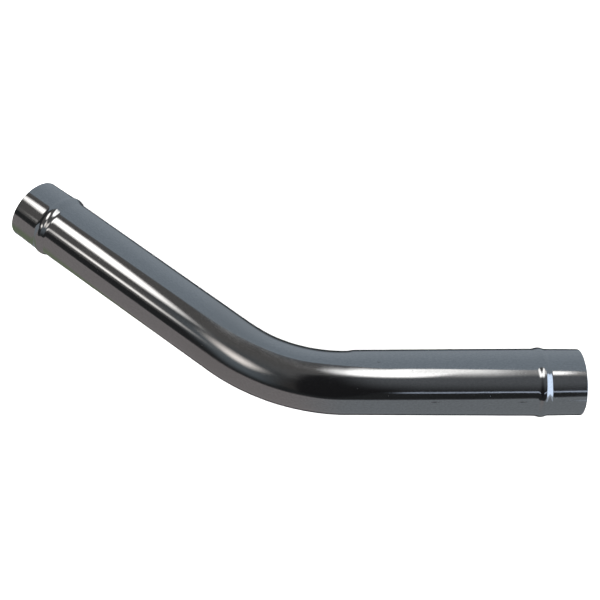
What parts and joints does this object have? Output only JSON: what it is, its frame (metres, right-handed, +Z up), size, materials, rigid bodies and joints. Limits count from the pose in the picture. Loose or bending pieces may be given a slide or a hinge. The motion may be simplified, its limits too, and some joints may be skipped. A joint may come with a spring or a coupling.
{
  "type": "flue elbow",
  "caption": "Long-legged shallow flue elbow in thin polished steel tube, with a sealed socket at one end, a spigot at the other, and a rolled bead behind each.",
  "frame": {"origin": "under the middle of the elbow's box, on the surface that it lies on", "axes": "+Z up, square to the plane that both legs' axes lie in; +X along the spigot leg, out of the spigot's mouth; the socket leg leaves towards -X and +Y, 35 degrees from the X axis"},
  "size_m": [0.5314, 0.2274, 0.0643],
  "materials": {
    "polished_steel": "bright stainless steel, nearly mirror-like, with fine lengthwise draw lines and a matter patch in the bend",
    "seal_rubber": "matt black silicone rubber"
  },
  "bodies": {
    "root": {"elbow_tube": "polished_steel", "socket_seal": "seal_rubber"}
  },
  "joints": []
}
